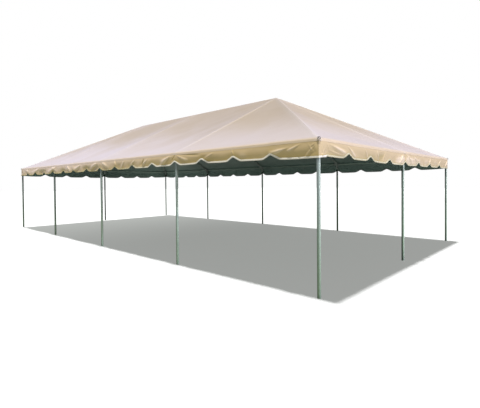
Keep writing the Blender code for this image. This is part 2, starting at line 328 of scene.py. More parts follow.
def bevelled(piece, width, **settings):
    """Breaks the edges of the active piece."""
    edge = piece.modifiers.new("edge", "BEVEL")
    edge.width = width
    edge.segments = 2
    for name, value in settings.items():
        setattr(edge, name, value)
    bpy.ops.object.modifier_apply(modifier=edge.name)


def turned(x, y, z, degrees):
    """A place in the frame, turned about the vertical."""
    return Matrix.Translation((x, y, z)) @ Matrix.Rotation(math.radians(degrees), 4, "Z")


def turn_to(direction):
    """Turns +Z to the direction."""
    return Vector(direction).to_track_quat("Z", "Y").to_matrix().to_4x4()


def scaled(colour, share):
    """A colour times a share, or times a share for each of its parts."""
    return tuple((np.array(colour) * share).tolist())


# Finishes


class Nodes:
    """Short ways to fill a node tree. A value is a socket, a number or a colour."""

    def __init__(self, tree):
        self.tree = tree

    def put(self, value, socket):
        """Feeds a socket."""
        if isinstance(value, bpy.types.NodeSocket):
            self.tree.links.new(value, socket)
        elif socket.type == "RGBA":
            socket.default_value = (*value, 1)
        else:
            socket.default_value = value

    def add(self, kind, inputs=(), out=0, **settings):
        """Adds a node, and gives one of its outputs, or all of them where out is None."""
        made = self.tree.nodes.new(kind)
        for name, value in settings.items():
            setattr(made, name, value)
        for place, value in dict(inputs).items():
            self.put(value, made.inputs[place])
        return made.outputs if out is None else made.outputs[out]

    def math(self, operation, *values, clamp=False):
        """A sum of the values."""
        inputs = dict(enumerate(values))
        return self.add("ShaderNodeMath", inputs, operation=operation, use_clamp=clamp)

    def times(self, first, second):
        """One value times another."""
        return self.math("MULTIPLY", first, second)

    def noise(self, vector, scale, detail=3.0, roughness=0.5, distortion=0.0):
        """A noise pattern."""
        inputs = {"Vector": vector, "Scale": scale, "Detail": detail, "Roughness": roughness}
        return self.add("ShaderNodeTexNoise", {**inputs, "Distortion": distortion})

    def ramp(self, value, low, high, to_low=0.0, to_high=1.0):
        """Maps a value from one range to another, with soft ends."""
        inputs = {"Value": value, "From Min": low, "From Max": high}
        inputs.update({"To Min": to_low, "To Max": to_high})
        return self.add("ShaderNodeMapRange", inputs, interpolation_type="SMOOTHSTEP")

    def mix(self, factor, first, second):
        """A mix of two colours."""
        inputs = {0: factor, 6: first, 7: second}
        return self.add("ShaderNodeMix", inputs, 2, data_type="RGBA")

    def axis(self, vector, name):
        """One part of a vector."""
        return self.add("ShaderNodeSeparateXYZ", {0: vector}, name)

    def noted(self, name):
        """A number kept for each vertex."""
        return self.add("ShaderNodeAttribute", out="Fac", attribute_name=name)

    def effect(self, name, vector, out=0, **values):
        """One of the effects below, placed by its vector."""
        group = bpy.data.node_groups[name]
        return self.add("ShaderNodeGroup", {"Vector": vector, **values}, out, node_tree=group)


def weave(nodes, given):
    """The scrim that shows through a coated cloth: a fine crossed grid of low ribs."""
    inputs = {"Vector": given["Vector"], "Scale": given["Threads"]}
    ribs = [
        nodes.add("ShaderNodeTexWave", inputs, "Fac", bands_direction=way) for way in ("X", "Y")
    ]
    return (nodes.times(*ribs),)


def handling(nodes, given):
    """Soft marks from folding and handling: broad clouds, and faint lines where it was folded."""
    place = given["Vector"]
    clouds = nodes.ramp(nodes.noise(place, 0.9, 2.5, 0.5, 0.2), 0.26, 0.74)
    drift = nodes.add("ShaderNodeTexNoise", {"Vector": place, "Scale": 0.7}, "Color")
    inputs = {0: drift, 1: (0.16, 0.16, 0.16), 2: place}
    warped = nodes.add("ShaderNodeVectorMath", inputs, operation="MULTIPLY_ADD")
    lines = []
    for way, gap in (("X", 0.46), ("Y", 0.57)):
        off = nodes.math("PINGPONG", nodes.axis(warped, way), gap)
        lines.append(nodes.ramp(off, 0.0, 0.030, 1.0, 0.0))
    patches = nodes.ramp(nodes.noise(place, 1.3, 2.0), 0.45, 0.62)
    return clouds, nodes.times(nodes.math("MAXIMUM", *lines), patches)


def band(nodes, given):
    """A mask that rises with height between two levels."""
    above = nodes.math("SUBTRACT", nodes.axis(given["Vector"], "Z"), given["Low"])
    span = nodes.math("SUBTRACT", given["High"], given["Low"])
    return (nodes.math("DIVIDE", above, span, clamp=True),)


def zinc(nodes, given):
    """Zinc spangle and dull patches."""
    inputs = {"Vector": given["Vector"], "Scale": given["Spangle"]}
    cells = nodes.add("ShaderNodeTexVoronoi", inputs, "Color")
    dull = nodes.ramp(nodes.noise(given["Vector"], 7.0, 4.0, 0.6), 0.35, 0.7)
    return nodes.add("ShaderNodeRGBToBW", {0: cells}), dull


# Each effect: what fills it, the numbers that it reads besides a place, and what it gives
EFFECTS = {
    "scrim": (weave, {"Threads": 300.0}, ("Height",)),
    "handling": (handling, {}, ("Clouds", "Folds")),
    "band": (band, {"Low": 0.0, "High": 1.0}, ("Mask",)),
    "zinc": (zinc, {"Spangle": 90.0}, ("Tone", "Dull")),
}


def make_effect(name, fill, numbers, results):
    """The node group of one effect."""
    tree = bpy.data.node_groups.new(name, "ShaderNodeTree")
    add_socket = tree.interface.new_socket
    add_socket(name="Vector", in_out="INPUT", socket_type="NodeSocketVector")
    for label, value in numbers.items():
        socket = add_socket(name=label, in_out="INPUT", socket_type="NodeSocketFloat")
        socket.default_value = value
    for label in results:
        add_socket(name=label, in_out="OUTPUT", socket_type="NodeSocketFloat")
    nodes = Nodes(tree)
    given = nodes.add("NodeGroupInput", out=None)
    end = tree.nodes.new("NodeGroupOutput")
    for label, value in zip(results, fill(nodes, given)):
        nodes.put(value, end.inputs[label])


class Finish(Nodes):
    """A material: its nodes, its shader's inputs, and the coordinates of the piece."""

    def __init__(self, name, roughness, metallic=0.0, specular=0.5):
        self.material = bpy.data.materials.new(name)
        self.material.use_nodes = True
        super().__init__(self.material.node_tree)
        self.shader = self.tree.nodes["Principled BSDF"].inputs
        self.shader["Roughness"].default_value = roughness
        self.shader["Metallic"].default_value = metallic
        self.shader["Specular IOR Level"].default_value = specular
        places = self.add("ShaderNodeTexCoord", out=None)
        self.place = places["Object"]
        self.pattern = places["UV"]

    def paint(self, colour, *layers):
        """Feeds the shader's colour, and its normal from heights, each with its depth in metres
        and its strength."""
        self.put(colour, self.shader["Base Color"])
        normal = None
        for height, depth, strength in layers:
            inputs = {"Height": height, "Distance": depth, "Strength": strength}
            if normal is not None:
                inputs["Normal"] = normal
            normal = self.add("ShaderNodeBump", inputs, "Normal")
        self.put(normal, self.shader["Normal"])


class Cloth(Finish):
    """Coated cloth: two close tones in clouds, faint fold lines and the scrim."""

    def __init__(self, name, tone, shade, roughness, fold_depth, weave_strength=0.25):
        super().__init__(name, roughness)
        self.marks = self.effect("handling", self.place, None)
        self.colour = self.mix(self.marks["Clouds"], tone, scaled(tone, shade))
        smoothest = max(roughness - 0.05, LEAST_ROUGHNESS)
        gloss = self.ramp(self.marks["Clouds"], 0.0, 1.0, smoothest, roughness + 0.07)
        self.put(gloss, self.shader["Roughness"])
        scrim = self.effect("scrim", self.pattern, Threads=220.0)
        self.layers = [(self.marks["Folds"], fold_depth, 0.3), (scrim, 0.0002, weave_strength)]

    def tint(self, factor, tone):
        """Mixes in another tone."""
        self.colour = self.mix(factor, self.colour, tone)

    def tint_below(self, low, high, tone):
        """Mixes in another tone up to a level, and fades it out above, up to the next one."""
        mask = self.effect("band", self.place, Low=low, High=high)
        self.tint(self.ramp(mask, 0.0, 1.0, 1.0, 0.0), tone)

    def wear(self):
        """Rubs the folds pale."""
        self.tint(self.times(self.marks["Folds"], 0.07), (0.82, 0.76, 0.66))

    def close(self):
        """Joins everything to the shader."""
        self.paint(self.colour, *self.layers)


def roof_finish(tone, painted_sheen, hem):
    """The roof's outer face. It has a painted pale sheen by the eave, and further up to the left,
    has its hem in another tone that is part painted sheen, and a painted highlight over the
    rafters, partly rubbing, where it has welded seams."""
    cloth = Cloth("roof_outside", tone, 0.95, 0.32, 0.0003, 0.02)
    # Painted sky sheen: a pale tone that rises from the eave, and reaches further up towards -X
    height = cloth.effect("band", cloth.place, Low=EAVE_LEVEL, High=RIDGE)
    height = cloth.math("MULTIPLY_ADD", cloth.marks["Clouds"], 0.10, height)
    way = cloth.ramp(cloth.axis(cloth.place, "X"), -1.0, 3.0, 0.15, 0.05)
    height = cloth.math("SUBTRACT", height, way)
    cloth.tint(cloth.ramp(height, 0.0, 0.62, 1.0, 0.0), painted_sheen)
    # The hem's tone is part valance cloth and part painted sheen
    cloth.tint_below(EAVE_LEVEL + 0.010, EAVE_LEVEL + 0.068, hem)
    cloth.wear()
    off_seam = cloth.noted("off_seam")
    # Painted highlight along the welts over the rafters and hips, partly rubbed pale
    cloth.tint(cloth.ramp(off_seam, 0.0, 0.11, 0.17, 0.0), (0.86, 0.80, 0.76))
    cloth.layers.append((cloth.ramp(off_seam, 0.0, 0.085, 1.0, 0.0), 0.004, 0.8))
    cloth.layers.append((cloth.ramp(off_seam, 0.030, 0.056, 1.0, 0.0), 0.0014, 0.6))
    cloth.close()


def valance_finish(tone, crease_shade):
    """The valance's outer face, with painted light and shade. Its shaded sides get a painted pale
    sheen to the left and painted warm shade low down, and the lit side a painted darker, cooler
    tone. The pulls get painted highlights, and painted shade lies in the creases and in a line
    above the binding."""
    cloth = Cloth("valance_outside", tone, 0.90, 0.28, 0.0012)
    cloth.wear()
    above, pull, shaded = (cloth.noted(name) for name in ("above_edge", "pull", "shaded"))
    # Painted sheen: the shaded sides turn paler and pinker towards -X
    way = cloth.ramp(cloth.axis(cloth.place, "X"), -1.5, 3.5, 0.6, 0.0)
    cloth.tint(cloth.times(way, shaded), (0.96, 0.75, 0.56))
    # Painted tone for the lit side: a darker, cooler copy of the cloth where the side light falls
    cloth.tint(cloth.math("MULTIPLY_ADD", shaded, -0.5, 0.5), (0.60, 0.475, 0.315))
    # Painted highlight on the ridges of the pulls
    cloth.tint(cloth.ramp(pull, 0.10, 0.60, 0.0, 0.50), (0.92, 0.76, 0.60))
    # Painted shade in the valleys of the pulls and in a line just above the binding
    cloth.tint(cloth.ramp(pull, -0.50, -0.06, 0.45, 0.0), crease_shade)
    cloth.tint(cloth.ramp(above, 0.026, 0.050, 0.55, 0.0), crease_shade)
    # Painted warm shade low down on the shaded sides
    low = cloth.ramp(above, 0.030, 0.150, 0.45, 0.0)
    cloth.tint(cloth.times(low, shaded), (0.54, 0.38, 0.09))
    cloth.close()


def lining_finish(name, tone, low=None):
    """The inner face of the cloth. low is its tone by the eave, painted lighter where light comes
    in, where that differs.
    """
    cloth = Cloth(name, tone, 0.85, 0.55, 0.0012)
    if low is not None:
        # Painted light: a paler tone by the eave
        cloth.tint_below(EAVE_LEVEL, EAVE_LEVEL + 0.16, low)
    cloth.wear()
    cloth.close()


def tape_finish(name, colour, roughness=0.6, stitch_at=0.016, far=None):
    """Woven tape with a row of stitches. stitch_at is the row's place across the tape, in metres,
    and far is a painted shade tone towards -X."""
    tape = Finish(name, roughness, specular=0.3)
    clouds = tape.effect("handling", tape.place, "Clouds")
    tone = tape.mix(clouds, colour, scaled(colour, 0.86))
    # Painted shade: the tape darkens to an olive tone towards -X
    if far is not None:
        tone = tape.mix(tape.ramp(tape.axis(tape.place, "X"), 0.8, 2.8), far, tone)
    off = tape.math("SUBTRACT", tape.axis(tape.pattern, "Y"), stitch_at)
    row = tape.ramp(tape.math("ABSOLUTE", off), 0.0005, 0.0012, 1.0, 0.0)
    dash = tape.math("PINGPONG", tape.axis(tape.pattern, "X"), 0.002)
    thread = tape.times(row, tape.ramp(dash, 0.0003, 0.0007))
    ribs = tape.effect("scrim", tape.pattern, Threads=420.0)
    tone = tape.mix(thread, tone, (0.88, 0.84, 0.74))
    tape.paint(tone, (ribs, 0.0003, 0.4), (thread, 0.0004, 0.6))


def zinc_finish(name, colour, roughness, foot=None, lit_share=0.0, metallic=0.35, specular=0.5):
    """Galvanised steel. foot is a leg's tone by the ground, a painted green reflection, and the
    share after foot is how much of a painted pale tone its lit side has."""
    steel = Finish(name, roughness, metallic, specular)
    spangle = steel.effect("zinc", steel.place, None)
    tone = steel.mix(steel.ramp(spangle["Tone"], 0.2, 0.8), scaled(colour, 0.88), colour)
    dull = tuple(part * 0.70 + 0.06 for part in colour)
    tone = steel.mix(steel.times(spangle["Dull"], 0.25), tone, dull)
    if foot is not None:
        # Painted green reflection of the lawn, strongest at the foot
        height = steel.effect("band", steel.place, Low=0.0, High=EAVE)
        tone = steel.mix(steel.ramp(height, 0.0, 0.8, 0.85, 0.0), tone, foot)
        # Painted light on the side of the leg that faces the lamps
        lit_tint = steel.ramp(steel.noted("facing"), 0.05, 0.75, 0.0, lit_share)
        tone = steel.mix(lit_tint, tone, (0.80, 0.88, 0.80))
    gloss = steel.ramp(spangle["Dull"], 0.0, 1.0, roughness - 0.04, roughness + 0.06)
    steel.put(gloss, steel.shader["Roughness"])
    steel.paint(tone, (spangle["Tone"], 0.0001, 0.2))


# The legs' finishes, lit and shaded copies of one galvanised tube: the share of the tubes' colour,
# painted shade, the tone by the ground, a painted green reflection, how bright the painted lit
# side is, and how metallic and specular the tube is
LEG_FINISHES = (
    ("tube_zinc", (0.94, 0.96, 0.94), (0.180, 0.273, 0.160), 0.16, 0.3, 0.5),
    ("tube_zinc_half_shade", (0.60, 0.68, 0.60), (0.300, 0.430, 0.290), 0.40, 0.3, 0.5),
    ("tube_zinc_far_shade", (0.53, 0.58, 0.53), (0.160, 0.225, 0.145), 0.06, 0.3, 0.4),
    ("tube_zinc_deep_shade", (0.05, 0.17, 0.05), (0.010, 0.050, 0.008), 0.0, 0.0, 0.08),
)


def finishes():
    """All the materials, made once and kept by name."""
    if "roof_outside" in bpy.data.materials:
        return bpy.data.materials
    for name, parts in EFFECTS.items():
        make_effect(name, *parts)
    colours = bpy.context.scene.marquee_colours
    # The hem mixes the valance cloth with the roof's painted sheen
    hem = tuple(0.56 * a + 0.44 * b for a, b in zip(colours.valance, colours.painted_sheen))
    roof_finish(tuple(colours.roof), tuple(colours.painted_sheen), hem)
    # The valance's painted shade tone, for its creases and above its binding
    valance_finish(tuple(colours.valance), (0.34, 0.26, 0.06))
    lining, binding = tuple(colours.lining), tuple(colours.binding)
    # Painted light: a paler lining by the eave, and on the valance's inner face, where light comes
    # in at the open sides
    lit_lining = scaled(lining, 1.62)
    lining_finish("lining", lining, lit_lining)
    lining_finish("valance_lining", lit_lining)
    # The far tone is painted shade on the tape towards -X
    tape_finish("edge_tape", binding, far=(0.50, 0.42, 0.20))
    # A darker copy of the tape for the lit right side: painted shade against the side light
    tape_finish("edge_tape_lit_side", scaled(binding, (0.56, 0.54, 0.42)))
    # The tape's inner face takes the lining's painted shade
    tape_finish("edge_tape_inside", lining)
    tape_finish("strap_webbing", (0.60, 0.58, 0.52), 0.8, 0.005)
    steel, casting = tuple(colours.steel), tuple(colours.casting)
    # The legs' lit and shaded copies of the zinc, with painted light and shade
    for name, shares, *look in LEG_FINISHES:
        zinc_finish(name, scaled(steel, shares), 0.47, *look)
    # The rafters are a darker copy of the tubes: painted shade under the roof
    zinc_finish("rafter_zinc", scaled(steel, 0.75), 0.6, metallic=0.1)
    # The rails are paler and greener than the tubes: painted light that lifts the shade under the
    # eave
    zinc_finish("rail_zinc", (0.40, 0.50, 0.45), 0.6, metallic=0.1)
    zinc_finish("fitting_zinc", casting, 0.5)
    zinc_finish("weld_zinc", scaled(casting, 0.75), 0.6)
    zinc_finish("bolt_zinc", (0.55, 0.56, 0.55), 0.3)
    # The ring is near black: painted shade on a steel ring
    zinc_finish("ring_steel", (0.06, 0.06, 0.075), 0.22)
    return bpy.data.materials


# The shape of the cloth


def hill(off, width):
    """One in the middle, and next to nothing two widths away."""
    return np.exp(-((off / width) ** 2))


def part_way(value, start, span):
    """How far a value is along a span, from 0 to 1."""
    return np.clip((value - start) / span, 0, 1)


def soft(share):
    """A share from 0 to 1, with soft ends."""
    return share * share * (3 - 2 * share)


def graded(count):
    """Shares from 0 to 1, closer together at both ends."""
    share = np.linspace(0, 1, count + 1)
    return share - 0.55 * np.sin(2 * math.pi * share) / (2 * math.pi)


def roof_section():
    """Inset and height of the roof's rows, from the hem, round the eave rail, to the ridge."""
    turn = math.pi / 2 - TILT
    top = EAVE_LEVEL + EAVE_ROUND * math.sin(HEM_LEAN)
    rows = []
    for drop in (HEM_DROP, HEM_DROP / 2):
        run = (top - EAVE_LEVEL + drop) * math.tan(HEM_LEAN)
        rows.append((EAVE_CENTRE - EAVE_ROUND * math.cos(HEM_LEAN) - run, EAVE_LEVEL - drop))
    for angle in np.linspace(HEM_LEAN, turn, 8).tolist():
        inset = EAVE_CENTRE - EAVE_ROUND * math.cos(angle)
        rows.append((inset, EAVE_LEVEL + EAVE_ROUND * math.sin(angle)))
    start = rows[-1][0]
    for share in graded(SLOPE_STEPS)[1:]:
        inset = start + share * (HALF_WIDTH - start)
        rows.append((inset, EAVE + CLOTH_RISE + inset * SLOPE))
    return np.array(rows)


def slack(inset):
    """How loose the cloth is at a distance in from the rail: tight by the rail and the ridge."""
    return np.sin(math.pi * part_way(inset / HALF_WIDTH, 0.04, 0.91))


def on_long_side(x, y):
    """Which places are on the long slopes, and not on the hip ends."""
    return (HALF_WIDTH - np.abs(y)) <= (HALF_LENGTH - np.abs(x)) + 1e-6


def sag_at(x, y, inset, depth):
    """How far the roof hangs below its rafters, and how near to the middle of its bay it is."""
    inset = np.clip(inset, 0, HALF_WIDTH)
    on_side = on_long_side(x, y)
    width = np.maximum(HALF_WIDTH - inset, 1e-6)
    off = np.where(on_side, np.abs(x) - RIDGE_END, np.abs(y))
    inner = on_side & (np.abs(x) <= RIDGE_END)
    width = np.where(inner, BAY, width)
    share = part_way(np.where(inner, np.abs(x), off), 0, width)
    bow = 4 * share * (1 - share)
    return depth * width / BAY * bow * slack(inset), bow


def fan(x, y, reach, inner):
    """The angle round the origin, and how strong a fan of pulls is that starts there."""
    apart = np.hypot(x, y)
    return np.arctan2(y, x), hill(apart, reach) * part_way(apart, 0, inner)


def ripple_at(x, y, inset, bow):
    """Low pulls in the roof that fan out from the ridge ends and from the eave at each leg."""
    lift = np.zeros_like(x)
    for sign in (-1, 1):
        angle, fade = fan(x - sign * RIDGE_END, y, 1.5, 0.4)
        lift += RIDGE_PULL * np.sin(11 * angle + 1.4 * np.sin(3 * angle) + sign) * fade
    for number, leg in enumerate(LONG_LEGS):
        for side in (-1, 1):
            angle, fade = fan(x - leg, y - side * HALF_WIDTH, 0.75, 0.15)
            lift += LEG_PULL * np.sin(13 * angle + number) * fade
    return lift * bow * slack(inset)


def puff_at(x, y, inset):
    """Over each leg's fitting the cloth by the eave stands a little proud."""
    lift = sum(hill(x - leg, PUFF_WIDTH) for leg in LONG_LEGS) * (np.abs(y) > HALF_WIDTH - 0.8)
    spots = sum(hill(y - leg, PUFF_WIDTH) for leg in SHORT_LEGS)
    lift = lift + spots * (np.abs(x) > HALF_LENGTH - 0.8)
    return PUFF * np.clip(lift * hill(np.clip(inset, 0, None), 0.16), 0, 1)


def off_seam_at(x, y):
    """Distance in plan to the nearest line that has a rafter under it."""
    hip = np.abs((HALF_LENGTH - np.abs(x)) - (HALF_WIDTH - np.abs(y))) / math.sqrt(2)
    common = np.abs(x / BAY - np.clip(np.rint(x / BAY), -1, 1)) * BAY
    return np.minimum(hip, np.where(on_long_side(x, y), common, np.abs(y)))


def roof_places(column, row, columns, rows, depth):
    """Place and pattern of each vertex of the roof's grid, and its distance to a seam."""
    section = roof_section()
    bay = graded(BAY_STEPS)
    inner = RIDGE_END * np.concatenate([bay - 1, bay[1:]])
    outer = HALF_LENGTH - section[:, 0]
    x = np.concatenate([-outer[:-1], inner, outer[:-1][::-1]])[column]
    outer = HALF_WIDTH - section[:, 0]
    y = np.concatenate([-outer, outer[:-1][::-1]])[row]
    ring = np.min([column, columns - column, row, rows - row], axis=0)
    ring = np.minimum(ring, len(section) - 1)
    inset = section[ring, 0]
    sag, bow = sag_at(x, y, inset, depth)
    off_seam = off_seam_at(x, y)
    firm = part_way(inset, 0.05, 0.4) * part_way(HALF_WIDTH - inset, 0, 0.25)
    welt = WELT * hill(off_seam, WELT_WIDTH) * firm
    z = section[ring, 1] - sag + welt + ripple_at(x, y, inset, bow) + puff_at(x, y, inset)
    pattern = np.stack([x, y * math.hypot(1, SLOPE)], axis=1)
    return np.stack([x, y, z], axis=1), pattern, off_seam


def split_hips(sheet, column, row, columns, rows):
    """Turns the diagonals of the cells under the hips along the hips, then merges the corners."""
    shape = bmesh.new()
    shape.from_mesh(sheet.data)
    shape.verts.ensure_lookup_table()
    at = {spot: number for number, spot in enumerate(zip(column.tolist(), row.tolist()))}
    for right in (False, True):
        for back in (False, True):
            line = []
            for k in range(rows // 2 + 1):
                spot = (columns - k if right else k, rows - k if back else k)
                line.append(shape.verts[at[spot]])
            for lower, upper in zip(line, line[1:]):
                for face in set(lower.link_faces) & set(upper.link_faces):
                    bmesh.utils.face_split(face, lower, upper)
    bmesh.ops.remove_doubles(shape, verts=shape.verts, dist=0.00002)
    shape.to_mesh(sheet.data)
    shape.free()


# Pulls in the valance, as seen in the photo: start and end along the side and down from the
# eave, then height as a share of the deepest crease, and width. A minus is a valley.
FRONT_PULLS = (
    (5.85, 0.03, 5.64, 0.11, 1.0, 0.017), (5.63, 0.07, 5.33, 0.13, 0.7, 0.026),
    (5.97, 0.04, 6.04, 0.15, 0.8, 0.012), (6.085, 0.03, 6.01, 0.07, 0.6, 0.009),
    (5.74, 0.15, 5.82, 0.23, -0.5, 0.011), (6.08, 0.05, 5.90, 0.22, 0.45, 0.014),
    (3.01, 0.01, 2.62, 0.13, 1.0, 0.032), (2.99, 0.00, 2.79, 0.09, -0.9, 0.022),
    (2.95, 0.00, 2.56, 0.22, 0.9, 0.030), (3.07, 0.00, 2.97, 0.11, -0.8, 0.018),
    (3.09, 0.01, 3.70, 0.05, -0.7, 0.018), (3.10, 0.03, 3.42, 0.13, 0.7, 0.022),
    (2.12, 0.05, 1.86, 0.22, 1.0, 0.034), (1.99, 0.02, 1.90, 0.21, -0.8, 0.030),
    (1.65, 0.03, 1.47, 0.16, 0.8, 0.032), (1.20, 0.02, 1.05, 0.20, 0.7, 0.040),
    (0.74, 0.00, 0.80, 0.13, 0.8, 0.030), (4.54, 0.01, 4.58, 0.10, 0.5, 0.014),
    (4.10, 0.05, 3.80, 0.17, 0.5, 0.030), (0.10, 0.00, 0.45, 0.17, 0.9, 0.040),
    (-0.10, 0.00, -0.50, 0.16, 1.0, 0.045), (-1.13, 0.05, -1.52, 0.18, 1.0, 0.055),
    (-2.00, 0.03, -1.75, 0.19, 0.8, 0.050), (-2.82, 0.02, -3.42, 0.19, 1.1, 0.060),
    (-3.20, 0.00, -2.70, 0.18, 0.8, 0.050), (-4.30, 0.02, -4.80, 0.20, 1.0, 0.070),
    (-5.60, 0.02, -5.10, 0.19, 0.9, 0.070),
)
RIGHT_PULLS = (
    (-2.905, 0.02, -2.83, 0.12, 1.0, 0.012), (-2.83, 0.12, -2.40, 0.18, 0.8, 0.016),
    (-3.015, 0.03, -3.01, 0.15, 0.8, 0.010), (-2.925, 0.06, -3.02, 0.21, 0.8, 0.011),
    (-2.78, 0.05, -2.37, 0.14, 1.0, 0.030), (-2.30, 0.04, -2.05, 0.19, 0.6, 0.026),
    (-1.75, 0.03, -1.62, 0.20, 0.7, 0.026), (-1.30, 0.02, -1.22, 0.18, 0.7, 0.024),
    (-0.95, 0.05, -1.02, 0.20, 0.5, 0.022), (-0.05, 0.00, -0.30, 0.20, 0.8, 0.022),
    (0.02, 0.00, 0.01, 0.20, -1.0, 0.022), (0.06, 0.00, 0.34, 0.18, 1.0, 0.028),
    (0.50, 0.04, 0.66, 0.15, 1.0, 0.030), (1.60, 0.03, 1.50, 0.19, 0.6, 0.030),
    (2.40, 0.05, 2.20, 0.19, 0.6, 0.030), (3.00, 0.02, 2.78, 0.20, 0.8, 0.026),
)

# Where the lower edge hangs above or below its level, along each side
HANG = {
    "front": ((-6.1, 0.0), (-3.0, 0.004), (0.0, 0.005), (2.4, 0.009), (3.4, 0.017), (4.7, 0.018),
              (5.4, 0.003), (6.1, -0.004)),
    "right": ((-3.1, 0.010), (-1.9, 0.011), (-1.2, 0.0), (-0.5, -0.014), (0.3, -0.013),
              (1.0, -0.006), (3.1, 0.0)),
    "back": ((-6.1, -0.012), (-4.2, -0.032), (-1.4, -0.042), (0.6, -0.052), (3.5, -0.046),
             (5.4, -0.046), (6.1, -0.028)),
    "left": ((-3.1, -0.028), (-1.4, -0.058), (0.2, -0.058), (1.5, -0.044), (3.1, -0.006)),
}

# How the cloth hangs, by the drop from the eave: it swells below the eave, then tucks in
SWELL = ((0.022, 0.0), (0.055, 0.85), (0.080, 1.0), (0.11, 0.8), (0.17, 0.25), (0.25, 0.0))
TUCK = ((0.10, 0.0), (0.13, -0.14), (0.24, -1.0))

# How much it swells, and how much it tucks in, along each side
HANGING = {
    "front": (
        ((-6.1, 0.004), (-1.0, 0.005), (2.0, 0.008), (4.0, 0.010), (5.2, 0.005), (6.1, 0.003)),
        ((-6.1, -0.006), (-1.5, -0.005), (1.5, 0.000), (3.3, 0.009), (4.8, 0.021), (6.1, 0.025)),
    ),
    "right": (((-3.1, 0.003), (3.1, 0.004)), ((-3.1, 0.006), (3.1, 0.006))),
    "back": (((-6.1, 0.008), (6.1, 0.010)), ((-6.1, 0.014), (6.1, 0.016))),
    "left": (((-3.1, 0.009), (3.1, 0.009)), ((-3.1, 0.014), (3.1, 0.014))),
}

# How loose each side is, which makes its waves deeper
LOOSE = {
    "front": ((-6.1, 1.5), (0.5, 1.4), (3.0, 1.0), (6.1, 0.8)),
    "right": ((-3.1, 0.35), (-1.9, 0.5), (-1.0, 0.9), (3.1, 0.9)),
    "back": ((-6.1, 1.1), (6.1, 1.1)),
    "left": ((-3.1, 1.1), (3.1, 1.1)),
}


